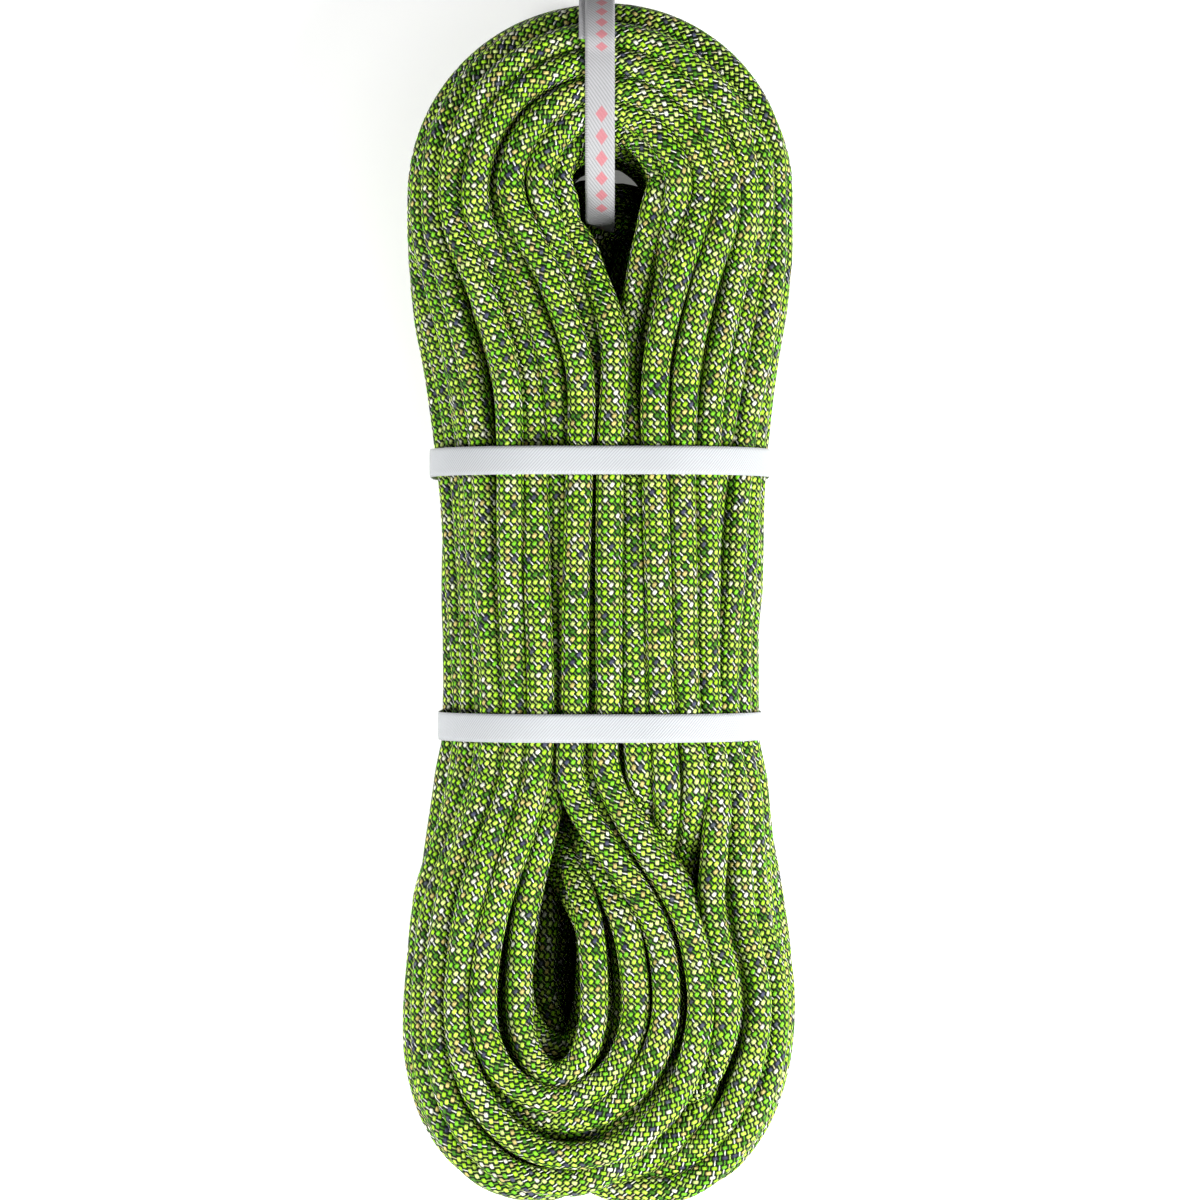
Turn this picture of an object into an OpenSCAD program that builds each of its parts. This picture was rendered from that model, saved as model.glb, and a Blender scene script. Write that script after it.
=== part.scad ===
// Dynamic climbing rope, wound into a long hank and tied with two bands.
// The hank lies on its back: +Z is its front, +Y runs up its length.
// The origin is the centre of its footprint, on the surface that it lies on.

/* [Rope] */
// Diameter of the rope
rope_d = 9.8; // [9:0.1:10.5]
// Diameter of the core inside the braided sheath
core_d = 7; // [6:0.1:7.8]

/* [Hank] */
// Overall length of the hank, with the hang ribbon over its top
hank_l = 432; // [425:1:440]
// Width of the upper lobe
upper_lobe_w = 139; // [134:1:142]
// Width of the lower lobe, the widest place
lower_lobe_w = 142; // [136:1:146]
// Width of the waist under the upper band
upper_waist_w = 120; // [117:1:124]
// Width of the waist under the lower band
lower_waist_w = 114; // [112:1:120]
// Depth of the two lobes, from the back to the front
lobe_d = 112; // [110:1:116]
// Depth of the waist between them
waist_d = 104; // [100:1:105]
// Radius of the round top of the upper eye
eye_r = 13; // [11:0.5:16]

/* [Bands] */
// Width of each band's tape
band_w = 10; // [8:0.5:14]
// Thickness of each band's tape
band_t = 0.8; // [0.6:0.1:1.2]
// Place of the upper band along the hank
upper_band_y = 49; // [45:1:50]
// Place of the lower band along the hank
lower_band_y = -45; // [-46:1:-42]

/* [Hang ribbon] */
// Width of the ribbon
ribbon_w = 10.4; // [8:0.2:11]
// Thickness of the ribbon
ribbon_t = 0.8; // [0.6:0.1:1]

/* [Rope ends] */
// Length of the straight stretch at each end of the rope
end_l = 60; // [55:1:62]
// Length of the shrunk sleeve on each end
sleeve_l = 44; // [30:1:46]
// Thickness of the sleeve's wall
sleeve_t = 0.5; // [0.3:0.1:0.6]

/* [Hidden] */

rope_green = "yellowgreen";
tape_white = "whitesmoke";
core_white = "ivory";
sleeve_grey = "dimgray";

curve_fn = 96;
eps = 0.01;

// Waist: two prisms of rounded section, meeting between the bands
waist_r = 40;
waist_split_y = 10;
waist_top_y = 58;
waist_bottom_y = -54;
waist_z = lobe_d / 2;

// Lobes: rounded section, with shoulders that widen away from the waist
lobe_r = 44;
shoulder_l = 64;
shoulder_steps = 8;
lower_end_r = 50;
lower_edge_r = 34;

// Arch: the round top of the hank, which the ribbon wraps
ribbon_gap = 0.5;
ribbon_eye_gap = 1.5;
arch_r = upper_lobe_w / 2;
arch_y = hank_l / 2 - arch_r - ribbon_gap - ribbon_t;
arch_edge_r = 22;
arch_lift = 2.4;
arch_d = lobe_d - 2 * arch_lift;
bundle_w = arch_r - eye_r;
eye_tip_y = 84;

// Bands
band_gap = 0.4;

// Rope ends: the routes of the two tails, from inside the hank outwards
end_x = 51;
end_z = rope_d / 2 + sleeve_t;
tail_sides = 12;
start_end_y = -20;
finish_end_y = -32;
start_route = [
    [46, -104, 28], [49, -90, 18], [50, -76, 11], [51, -62, 7],
    [end_x, -48, end_z], [end_x, -34, end_z], [end_x, start_end_y, end_z]
];
finish_route = [
    [-46, -108, 28], [-49, -94, 18], [-50, -80, 11], [-51, -66, 7],
    [-end_x, -52, end_z], [-end_x, -42, end_z], [-end_x, finish_end_y, end_z]
];
sleeve_inset = 6;
core_proud = 0.8;

// A rectangle with round corners, centred on the origin
module rounded_rect(w, h, r) {
    square([w - 2 * r, h], center = true);
    square([w, h - 2 * r], center = true);
    for (x = [-1, 1], y = [-1, 1])
        translate([x * (w / 2 - r), y * (h / 2 - r)])
            circle(r = r, $fn = curve_fn);
}

// Extrudes an XZ section along Y, from y = from to y = to
module along_y(from, to) {
    translate([0, to, 0])
        rotate([90, 0, 0])
            linear_extrude(to - from) children();
}

// Extrudes a YZ profile along X, centred on x = 0
module along_x(w) {
    rotate([90, 0, 90])
        linear_extrude(w, center = true) children();
}

// Half the size of a shoulder, from size_a to size_b as t goes from 0 to 1
function shoulder_half(size_a, size_b, t) =
    (size_a + (size_b - size_a) * (1 - cos(180 * t)) / 2) / 2;

// Outline of a shoulder along +Y from the origin, mirrored about the Y axis
module shoulder(size_a, size_b) {
    steps = [for (i = [0 : shoulder_steps]) i / shoulder_steps];
    right = [for (t = steps) [shoulder_half(size_a, size_b, t), t * shoulder_l]];
    left = [for (i = [shoulder_steps : -1 : 0]) [-right[i][0], right[i][1]]];
    polygon(concat(right, left));
}

// The waist's section with every side moved out by grow
module waist_section(w, grow = 0) {
    translate([0, waist_z])
        rounded_rect(w + 2 * grow, waist_d + 2 * grow, waist_r + grow);
}

// Section of either lobe
module lobe_section(w) {
    translate([0, lobe_d / 2]) rounded_rect(w, lobe_d, lobe_r);
}

// A lobe's shoulder in plan and in side view, followed by its straight part
module lobe_sides(size_a, size_b, straight_l) {
    shoulder(size_a, size_b);
    translate([-size_b / 2, shoulder_l - eps])
        square([size_b, straight_l + eps]);
}

module upper_lobe() {
    straight_l = arch_y - waist_top_y - shoulder_l;
    intersection() {
        translate([0, waist_top_y, 0])
            linear_extrude(lobe_d)
                lobe_sides(upper_waist_w, upper_lobe_w, straight_l);
        along_x(upper_lobe_w)
            translate([waist_top_y, waist_z])
                rotate(-90)
                    lobe_sides(waist_d, lobe_d, straight_l);
        along_y(waist_top_y - eps, arch_y) lobe_section(upper_lobe_w);
    }
}

module lower_lobe() {
    end_y = -hank_l / 2;
    straight_l = waist_bottom_y - end_y - shoulder_l;
    round_x = lower_lobe_w / 2 - lower_end_r;
    intersection() {
        linear_extrude(lobe_d) {
            translate([0, waist_bottom_y])
                mirror([0, 1])
                    lobe_sides(lower_waist_w, lower_lobe_w, straight_l - lower_end_r);
            translate([-round_x, end_y])
                square([2 * round_x, lower_end_r + eps]);
            for (side = [-1, 1])
                translate([side * round_x, end_y + lower_end_r])
                    circle(r = lower_end_r, $fn = curve_fn);
        }
        along_x(lower_lobe_w)
            translate([waist_bottom_y, waist_z]) {
                rotate(90)
                    lobe_sides(waist_d, lobe_d, straight_l - lower_edge_r);
                translate([-shoulder_l - straight_l / 2, 0])
                    rounded_rect(straight_l, lobe_d, lower_edge_r);
            }
        along_y(end_y, waist_bottom_y + eps) lobe_section(lower_lobe_w);
    }
}

// The turns over the top of the upper eye, as one round bundle
module arch() {
    translate([0, arch_y, 0])
        rotate_extrude(angle = 180, $fn = curve_fn)
            translate([eye_r + bundle_w / 2, lobe_d / 2])
                rounded_rect(bundle_w, arch_d, arch_edge_r);
}

// Upper eye: round at its top and drawn to a tip below
module eye() {
    tangent = acos(eye_r / (arch_y - eye_tip_y));
    translate([0, 0, -1])
        linear_extrude(lobe_d + 2) {
            translate([0, arch_y]) circle(r = eye_r, $fn = curve_fn);
            polygon([
                [0, eye_tip_y],
                [eye_r * sin(tangent), arch_y - eye_r * cos(tangent)],
                [-eye_r * sin(tangent), arch_y - eye_r * cos(tangent)]
            ]);
        }
}

module rope_hank() {
    color(rope_green)
        difference() {
            union() {
                along_y(waist_split_y, waist_top_y) waist_section(upper_waist_w);
                along_y(waist_bottom_y, waist_split_y) waist_section(lower_waist_w);
                upper_lobe();
                lower_lobe();
                arch();
            }
            eye();
        }
}

// A tape that closes around the waist, at band_y
module band(waist_w, band_y) {
    color(tape_white)
        along_y(band_y - band_w / 2, band_y + band_w / 2)
            difference() {
                waist_section(waist_w, band_gap + band_t);
                waist_section(waist_w, band_gap);
            }
}

module upper_band() {
    band(upper_waist_w, upper_band_y);
}

module lower_band() {
    band(lower_waist_w, lower_band_y);
}

// The ribbon's inner outline around the bundle, in YZ, moved out by grow
module ribbon_outline(grow) {
    inner_w = bundle_w + ribbon_eye_gap + ribbon_gap;
    translate([arch_y + eye_r - ribbon_eye_gap + inner_w / 2, lobe_d / 2])
        rounded_rect(
            inner_w + 2 * grow,
            arch_d + 2 * ribbon_gap + 2 * grow,
            arch_edge_r + ribbon_gap + grow
        );
}

module hang_ribbon() {
    color(tape_white)
        along_x(ribbon_w)
            difference() {
                ribbon_outline(ribbon_t);
                ribbon_outline(0);
            }
}

// Rings of a tube along a route, whose last ring faces straight along Y
function unit(v) = v / norm(v);
function heading(route, i) =
    unit(route[min(i + 1, len(route) - 1)] - route[max(i - 1, 0)]);
function ring(route, i, last) =
    let (
        h = i == last ? [0, sign(heading(route, i)[1]), 0] : heading(route, i),
        side = unit(cross(h, [0, 0, 1])),
        up = cross(side, h)
    )
    [for (k = [0 : tail_sides - 1])
        let (a = 360 * (k + 0.5) / tail_sides)
        route[i] + rope_d / 2 * (cos(a) * side + sin(a) * up)];

// A tube along the route, closed by a flat face at each end
module tail(route) {
    last = len(route) - 1;
    points = [for (i = [0 : last]) each ring(route, i, last)];
    walls = [for (i = [0 : last - 1], k = [0 : tail_sides - 1])
        let (next = (k + 1) % tail_sides)
        [
            i * tail_sides + k,
            (i + 1) * tail_sides + k,
            (i + 1) * tail_sides + next,
            i * tail_sides + next
        ]];
    near_face = [for (k = [0 : tail_sides - 1]) k];
    far_face = [for (k = [tail_sides - 1 : -1 : 0]) last * tail_sides + k];
    color(rope_green)
        polyhedron(points = points, faces = concat(walls, [near_face, far_face]));
}

// Places a part made along +Z at a rope end, which runs along +Y from y = from
module at_rope_end(side, from) {
    translate([side * end_x, from, end_z])
        rotate([-90, 0, 0]) children();
}

// The sheath of a rope's straight end, around its core
module end_sheath() {
    color(rope_green)
        difference() {
            cylinder(d = rope_d, h = end_l, $fn = curve_fn);
            translate([0, 0, -1]) cylinder(d = core_d, h = end_l + 2, $fn = curve_fn);
        }
}

// The core of a rope's straight end, sealed a little proud of the sheath
module end_core() {
    color(core_white)
        cylinder(d = core_d, h = end_l + core_proud, $fn = curve_fn);
}

// The sleeve shrunk over a rope's end
module end_sleeve() {
    color(sleeve_grey)
        translate([0, 0, end_l - sleeve_inset - sleeve_l])
            difference() {
                cylinder(d = rope_d + 2 * sleeve_t, h = sleeve_l, $fn = curve_fn);
                translate([0, 0, -1]) cylinder(d = rope_d, h = sleeve_l + 2, $fn = curve_fn);
            }
}

module start_tail() {
    tail(start_route);
}

module start_sheath() {
    at_rope_end(1, start_end_y) end_sheath();
}

module start_core() {
    at_rope_end(1, start_end_y) end_core();
}

module start_sleeve() {
    at_rope_end(1, start_end_y) end_sleeve();
}

module finish_tail() {
    tail(finish_route);
}

module finish_sheath() {
    at_rope_end(-1, finish_end_y) end_sheath();
}

module finish_core() {
    at_rope_end(-1, finish_end_y) end_core();
}

module finish_sleeve() {
    at_rope_end(-1, finish_end_y) end_sleeve();
}

rope_hank();
start_tail();
start_sheath();
start_core();
start_sleeve();
finish_tail();
finish_sheath();
finish_core();
finish_sleeve();
upper_band();
lower_band();
hang_ribbon();
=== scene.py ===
import math

import bpy
import numpy as np
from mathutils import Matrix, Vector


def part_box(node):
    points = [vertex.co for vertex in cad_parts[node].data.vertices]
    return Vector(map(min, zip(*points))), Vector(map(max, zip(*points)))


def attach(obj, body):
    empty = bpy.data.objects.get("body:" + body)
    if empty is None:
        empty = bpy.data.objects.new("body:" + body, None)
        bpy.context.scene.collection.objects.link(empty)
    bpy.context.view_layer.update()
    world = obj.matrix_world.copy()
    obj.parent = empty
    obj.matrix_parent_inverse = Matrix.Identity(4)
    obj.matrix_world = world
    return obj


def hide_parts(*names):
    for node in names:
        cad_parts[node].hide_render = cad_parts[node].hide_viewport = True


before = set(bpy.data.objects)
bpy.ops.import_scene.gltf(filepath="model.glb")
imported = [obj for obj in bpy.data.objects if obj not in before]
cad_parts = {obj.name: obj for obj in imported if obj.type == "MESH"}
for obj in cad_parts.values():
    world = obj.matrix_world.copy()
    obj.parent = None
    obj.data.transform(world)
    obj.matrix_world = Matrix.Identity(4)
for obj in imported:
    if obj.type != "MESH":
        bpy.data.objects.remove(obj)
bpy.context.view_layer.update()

# ---------------------------------------------------------------- Sizes, in metres

MM = 0.001
ROPE_D = 9.8 * MM
ROPE_R = ROPE_D / 2
CORE_R = 3.5 * MM
HANK_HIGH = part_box("rope_hank")[1]
HALF_L = HANK_HIGH[1]
MID_Z = HANK_HIGH[2] / 2
ARCH_R = 69.5 * MM
ARCH_Y = HALF_L - ARCH_R - 1.3 * MM
ARCH_HALF_DEPTH = 53.5 * MM


# ---------------------------------------------------------------- Camera and light

LAMPS_AIM_AT = (0, -0.1, 0.05)


def look_down():
    """The photographed view: straight down on the hank's front, from 1.67 m over the floor"""
    data = bpy.data.cameras.new("camera")
    data.sensor_width = 36
    data.lens = 133.5
    camera = bpy.data.objects.new("camera", data)
    camera.location = (0, 0, 1.666)
    bpy.context.scene.collection.objects.link(camera)
    bpy.context.scene.camera = camera


def softbox(name, place, size, power):
    """A white lamp with a rectangular face, aimed at the hank"""
    data = bpy.data.lights.new(name, "AREA")
    data.shape = "RECTANGLE"
    data.size = size[0]
    data.size_y = size[1]
    data.energy = power
    lamp = bpy.data.objects.new(name, data)
    lamp.location = place
    away = np.array(place) - np.array(LAMPS_AIM_AT)
    lamp.rotation_euler = (
        math.atan2(math.hypot(away[0], away[1]), away[2]),
        0,
        math.atan2(away[0], -away[1]),
    )
    bpy.context.scene.collection.objects.link(lamp)


def studio():
    """A soft key on the right, a weaker fill on the left, a faint lamp in front, and a pale room"""
    softbox("key", (1.1, -0.5, 0.95), (0.6, 1.2), 57)
    softbox("front", (0.4, -0.2, 1.9), (0.6, 0.6), 4)
    softbox("fill", (-1.0, -0.5, 0.9), (0.6, 0.9), 30)
    world = bpy.data.worlds.new("pale room")
    world.use_nodes = True
    world.node_tree.nodes["Background"].inputs["Color"].default_value = (1, 1, 1, 1)
    world.node_tree.nodes["Background"].inputs["Strength"].default_value = 0.03
    bpy.context.scene.world = world
    bpy.context.scene.view_settings.view_transform = "Standard"


# ---------------------------------------------------------------- Winding the hank

# Strands on each side of the waist, in layers from the back to the front
LAYERS = [4, 5, 5, 6, 6, 6, 6, 6, 5, 5, 4]
LAST = len(LAYERS) - 1

# Where each leg has its control points, from the upper lobe down
LEG_HEIGHTS = (0.112, 0.082, 0.045, 0.005, -0.035, -0.062)

# Where the low-hanging strands' middles lie from the arch's, for the layers that have one
LOW_MIDDLES = {1: (12, -12), 2: (-10, -13), 3: (8, -14), 4: (1, -11), 5: (9, -24)}
LOW_ARCH_R = 15.5 * MM

# Settling: the points' spacing, how far apart it aims to bring the strands in diameters, how far
# each push overshoots, how much of its shift a point keeps, and how much of each end is held still
STEP = 5 * MM
PRESSED = 0.96
OVERSHOOT = 1.7
SHIFT_KEPT = 0.999
HELD_END = 0.148


def ease(low, high, t):
    """A smooth step from 0 at low to 1 at high"""
    t = np.clip((t - low) / (high - low), 0, 1)
    return t * t * (3 - 2 * t)


def half_width(y):
    """Half the hank's width at each height, outside the rope: straight where each band slides"""
    heights = np.array([-145, -108, -72, -50, -10, 18, 52, 90, 108]) * MM
    widths = np.array([70.6, 67.5, 62, 57.2, 57.2, 60.2, 60.2, 67, 69]) * MM
    return np.interp(y, heights, widths)


def half_depth(y):
    """Half the hank's depth at each height: tied in at the waist, full at the lobes"""
    waist = ease(-110 * MM, -60 * MM, y) * (1 - ease(60 * MM, 105 * MM, y))
    lobe = np.where(np.asarray(y) > 0, ARCH_HALF_DEPTH, 56 * MM)
    return lobe + (52 * MM - lobe) * waist


def level_z(level, y):
    """How high a layer lies: level 0 is the back one, and level LAST the front one"""
    return MID_Z + (level / LAST - 0.5) * 2 * (half_depth(y) - ROPE_R)


def strand_list():
    """Every strand that passes over the top, as (layer, place from the centre, places)"""
    return [(layer, place, places)
            for layer, places in enumerate(LAYERS) for place in range(places)]


def leg_x(strand, side, y, aside=0.0):
    """Where a strand's leg lies across the waist; the front layers lie a little to the right"""
    layer, place, places = strand
    width = half_width(y) - ROPE_R
    front = ease(4, LAST, layer)
    return side * (place + 0.5 + aside) * width / max(places, 5.2) + 9 * MM * front


def leg(strand, side, high_slack, low_slack):
    """Control points down one leg, from the upper lobe to the lower end of the waist. Its slack,
    aside and forward, drifts on the way down"""
    layer = strand[0]
    points = []
    for y in LEG_HEIGHTS:
        down = ease(LEG_HEIGHTS[0], LEG_HEIGHTS[-1], y)
        aside, forward = (high + (low - high) * down for high, low in zip(high_slack, low_slack))
        x = leg_x(strand, side, y, aside)
        if y == LEG_HEIGHTS[0]:
            x = 0.55 * x + 0.45 * (side * arch_radius(strand, aside) + arch_centre(strand)[0])
        points.append((x, y, level_z(layer + forward, y)))
    return points


def hangs_low(strand):
    """The innermost strands of some layers in the back half hang down into the upper eye"""
    layer, place, _ = strand
    return place == 0 and layer in LOW_MIDDLES


def arch_radius(strand, aside):
    """How far from its centre a strand passes over the top. The backmost layers lie closer in,
    and every other layer lies a little further out"""
    layer, place, places = strand
    if hangs_low(strand):
        return LOW_ARCH_R
    middle = 41.3
    spacing = 10
    inward = 9 * (1 - ease(0, 3, layer))
    outward = 2 * MM if layer % 2 else 0
    return (middle + (place - (places - 1) / 2 + aside) * spacing - inward) * MM + outward


def arch_centre(strand):
    """The middle of a strand's way over the top; the front layers' lies a little to the right"""
    layer = strand[0]
    if hangs_low(strand):
        x, y = LOW_MIDDLES[layer]
        return x * MM, ARCH_Y + y * MM
    return 6 * MM * ease(4, LAST, layer), ARCH_Y - 3 * MM


def arch(strand, aside, forward):
    """Control points over the top, from the left leg to the right one. A low-hanging strand never
    lies in front of its layer, where the ribbon hangs"""
    layer = strand[0]
    radius = arch_radius(strand, aside)
    centre_x, centre_y = arch_centre(strand)
    if hangs_low(strand):
        forward = min(forward, 0)
    points = []
    for angle in np.radians(np.linspace(180, 0, 9)):
        x = centre_x + radius * math.cos(angle)
        y = centre_y + radius * math.sin(angle)
        points.append((x, y, level_z(layer + forward, ARCH_Y)))
    return points


# The lower lobes' nested loops, from the innermost, in millimetres: the outer leg's x, the inner
# leg's x and the lowest y, as seen on the left lobe. The last number is how many loops lie there
NESTS = [(-29, 3, -166, 4), (-42, 14, -177, 5), (-49, 27, -187, 5), (-56, 37, -199, 6),
         (-65, 26, -211, 9)]


def lobe_loops(strands):
    """Pair the legs into the two lower lobes' loops. In the middle, the left lobe lies in front
    of the right one. A loop is [side, nest, outside leg, inside leg, outside level, inside level]"""
    legs = [(number, side) for number in range(len(strands)) for side in (-1, 1)]

    def place(leg_end, mirror):
        number, side = leg_end
        x = leg_x(strands[number], side, -0.03) * mirror
        level = strands[number][0] - LAST / 2
        return x, level * mirror * 2 / LAST

    def slanted(leg_end, mirror, slant):
        x, level = place(leg_end, mirror)
        return x - slant * level

    lobe_slant = 40 * MM
    nest_slant = 11 * MM
    legs.sort(key=lambda end: slanted(end, 1, lobe_slant))
    half = len(legs) // 2
    loops = []
    for side, members in ((-1, legs[:half]), (1, legs[half:])):
        mirror = -side
        members = sorted(members, key=lambda end: slanted(end, mirror, nest_slant))
        outside = members[:half // 2][::-1]
        inside = sorted(members[half // 2:], key=lambda end: place(end, mirror)[0])
        for nest, (_, _, _, count) in enumerate(NESTS):
            outer, inner = (sorted(ends[:count], key=lambda end: place(end, mirror)[1])
                            for ends in (outside, inside))
            outside, inside = outside[count:], inside[count:]
            for rank, (out_end, in_end) in enumerate(zip(outer, inner)):
                out_level = strands[out_end[0]][0]
                forward = (rank + 0.6) / count
                outermost = nest == len(NESTS) - 1
                forward = 0.75 * forward - 0.25 if outermost else 0.15 + 0.82 * forward
                in_level = LAST / 2 * (1 + mirror * forward)
                loops.append([side, nest, out_end, in_end, out_level, in_level])
    return loops


def turn_labels(loops, count):
    """Which closed turn each strand belongs to, and which leg each leg is joined to"""
    joined = {}
    for _, _, out_end, in_end, _, _ in loops:
        joined[out_end] = in_end
        joined[in_end] = out_end
    labels = {}
    for number in range(count):
        end = (number, 1)
        while end[0] not in labels:
            labels[end[0]] = number
            number_after, side = joined[end]
            end = (number_after, -side)
    return labels, joined


def join_turns(loops, count):
    """Swap the inside legs of neighbouring loops until the closed turns are one rope"""
    for first, second in zip(loops[:-1], loops[1:]):
        labels, _ = turn_labels(loops, count)
        if first[0] == second[0] and labels[first[2][0]] != labels[second[2][0]]:
            first[3], second[3] = second[3], first[3]
            first[5], second[5] = second[5], first[5]


def lobe(loop, jitter):
    """Control points round one lower lobe, from the outside leg to the inside one"""
    side, nest, _, _, out_level, in_level = loop
    out_x, in_x, low_y, _ = NESTS[nest]
    out_x = -side * out_x * MM + jitter[0] * 3 * MM
    in_x = -side * in_x * MM + jitter[1] * 4 * MM
    low_y = low_y + (jitter[0] + jitter[1]) * 3
    middle = (out_x + in_x) / 2
    radius = abs(out_x - in_x) / 2
    belly = -0.14
    neck = 75 * MM
    points = []
    for angle in np.radians(np.linspace(-22, 202, 11)):
        along = np.clip((1 - math.cos(angle)) / 2, 0, 1)
        swing = math.sin(angle)
        x = middle + side * radius * math.cos(angle) * (1 if swing > 0 else 0.97)
        x += side * 5 * MM * max(swing, 0) * (nest / len(NESTS))
        y = belly - swing * (belly - low_y * MM if swing > 0 else neck)
        points.append((x, y, level_z(out_level + (in_level - out_level) * along, -0.15)))
    return points


# The rope's two ends lie along the back of the waist and turn into the lower lobe: the control
# points from each tip, in millimetres
START_ROUTE = [(51, 40, 5.4), (51, 25, 5.4), (51, 10, 5.4), (51, -5, 5.4), (51, -20, 5.4),
               (51, -34, 5.4), (51, -48, 5.4), (51, -62, 7), (50, -76, 11), (49, -90, 18),
               (46, -104, 28)]
START_LEAD = [(44, -120, 36), (38, -150, 44), (20, -172, 46), (0, -180, 44), (-20, -176, 40),
              (-38, -152, 34), (-46, -120, 28)]
FINISH_ROUTE = [(-51, 28, 5.4), (-51, 14, 5.4), (-51, 0, 5.4), (-51, -14, 5.4), (-51, -32, 5.4),
                (-51, -42, 5.4), (-51, -52, 5.4), (-51, -66, 7), (-50, -80, 11), (-49, -94, 18),
                (-46, -108, 28)]
FINISH_LEAD = [(-42, -130, 40), (-30, -155, 48), (-10, -165, 50), (6, -150, 50), (10, -120, 50)]


def route():
    """The whole rope's control points, from the start end to the finish end"""
    draw = np.random.default_rng(3)

    def loose(spread):
        return spread * np.clip(draw.normal(), -1.6, 1.6)

    strands = strand_list()
    legs = [(number, side) for number in range(len(strands)) for side in (-1, 1)]
    high_slack = {end: (loose(0.25), loose(0.5)) for end in legs}
    low_slack = {end: (loose(0.4), loose(0.5)) for end in legs}
    loops = lobe_loops(strands)
    join_turns(loops, len(strands))
    lobe_points = {}
    for loop in loops:
        points = lobe(loop, (loose(0.5), loose(0.5)))
        lobe_points[loop[2]] = points
        lobe_points[loop[3]] = points[::-1]
    _, joined = turn_labels(loops, len(strands))
    # The rope is cut at the backmost loop of the left lobe's middle nest: it starts at that loop's
    # outside leg and finishes at the inside one
    cut = min((loop for loop in loops if loop[0] < 0 and loop[1] == 2), key=lambda loop: loop[4])
    points = [np.array(START_ROUTE + START_LEAD) * MM]
    end = cut[2]
    for turn in range(len(strands)):
        number, side = end
        strand = strands[number]
        both_legs = zip(high_slack[(number, -1)], high_slack[(number, 1)])
        aside, forward = ((left + right) / 2 for left, right in both_legs)
        points.append(leg(strand, side, high_slack[end], low_slack[end])[::-1])
        points.append(arch(strand, aside + loose(0.3), forward + loose(0.5))[::-side])
        end = (number, -side)
        points.append(leg(strand, -side, high_slack[end], low_slack[end]))
        if turn < len(strands) - 1:
            points.append(lobe_points[end])
            end = joined[end]
    points.append(np.array((FINISH_ROUTE + FINISH_LEAD)[::-1]) * MM)
    return np.vstack(points)


def smooth_curve(points, parts=8):
    """A centripetal Catmull-Rom curve through the points"""
    ends = np.vstack([2 * points[0] - points[1], points, 2 * points[-1] - points[-2]])
    p0, p1, p2, p3 = ends[:-3], ends[1:-2], ends[2:-1], ends[3:]

    def knot(a, b):
        return np.maximum(np.linalg.norm(b - a, axis=1), 1e-6)[:, None] ** 0.5

    t1 = knot(p0, p1)
    t2 = t1 + knot(p1, p2)
    t3 = t2 + knot(p2, p3)
    rows = []
    for part in range(parts):
        t = t1 + (t2 - t1) * part / parts
        a1 = (t1 - t) / t1 * p0 + t / t1 * p1
        a2 = (t2 - t) / (t2 - t1) * p1 + (t - t1) / (t2 - t1) * p2
        a3 = (t3 - t) / (t3 - t2) * p2 + (t - t2) / (t3 - t2) * p3
        b1 = (t2 - t) / t2 * a1 + t / t2 * a2
        b2 = (t3 - t) / (t3 - t1) * a2 + (t - t1) / (t3 - t1) * a3
        rows.append((t2 - t) / (t2 - t1) * b1 + (t - t1) / (t2 - t1) * b2)
    curve = np.stack(rows, axis=1).reshape(-1, 3)
    return np.vstack([curve, points[-1:]])


def evenly(points, spacing):
    """Points spaced evenly along a line"""
    gone = np.concatenate([[0], np.cumsum(np.linalg.norm(np.diff(points, axis=0), axis=1))])
    count = int(round(gone[-1] / spacing))
    at = np.linspace(0, gone[-1], count + 1)
    return np.stack([np.interp(at, gone, points[:, axis]) for axis in range(3)], axis=1)


def near_pairs(points, reach, apart):
    """Pairs of points closer than reach, and more than apart places from each other"""
    cells = np.floor(points / reach).astype(np.int64)
    cells -= cells.min(axis=0) - 1
    span = cells.max(axis=0) + 2
    keys = (cells[:, 0] * span[1] + cells[:, 1]) * span[2] + cells[:, 2]
    order = np.argsort(keys, kind="stable")
    ordered = keys[order]
    steps = [(x * span[1] + y) * span[2] + z
             for x in (-1, 0, 1) for y in (-1, 0, 1) for z in (-1, 0, 1)]
    firsts, seconds = [], []
    for offset in (s for s in steps if s >= 0):
        low = np.searchsorted(ordered, keys + offset, "left")
        high = np.searchsorted(ordered, keys + offset, "right")
        count = high - low
        first = np.repeat(np.arange(len(points)), count)
        start = np.repeat(low - np.concatenate([[0], np.cumsum(count)[:-1]]), count)
        second = order[start + np.arange(len(first))]
        keep = np.abs(first - second) > apart
        if offset == 0:
            keep &= first < second
        first, second = first[keep], second[keep]
        close = np.sum((points[first] - points[second]) ** 2, axis=1) < reach * reach
        firsts.append(first[close])
        seconds.append(second[close])
    return np.concatenate(firsts), np.concatenate(seconds)


def add_up(places, values, count):
    """The sum of the vectors given for each place"""
    return np.stack([np.bincount(places, values[:, axis], count) for axis in range(3)], axis=1)


def into_box(u, v, half_u, half_v, corner):
    """Move points into a box with round corners, centred on nought"""
    u, v = np.clip(u, -half_u, half_u), np.clip(v, -half_v, half_v)
    past_u = np.maximum(np.abs(u) - (half_u - corner), 0)
    past_v = np.maximum(np.abs(v) - (half_v - corner), 0)
    past = np.maximum(np.hypot(past_u, past_v), 1e-9)
    back = np.where(past > corner, corner / past, 1)
    new_u = np.sign(u) * (np.abs(u) - past_u * (1 - back))
    new_v = np.sign(v) * (np.abs(v) - past_v * (1 - back))
    return new_u, new_v


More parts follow.
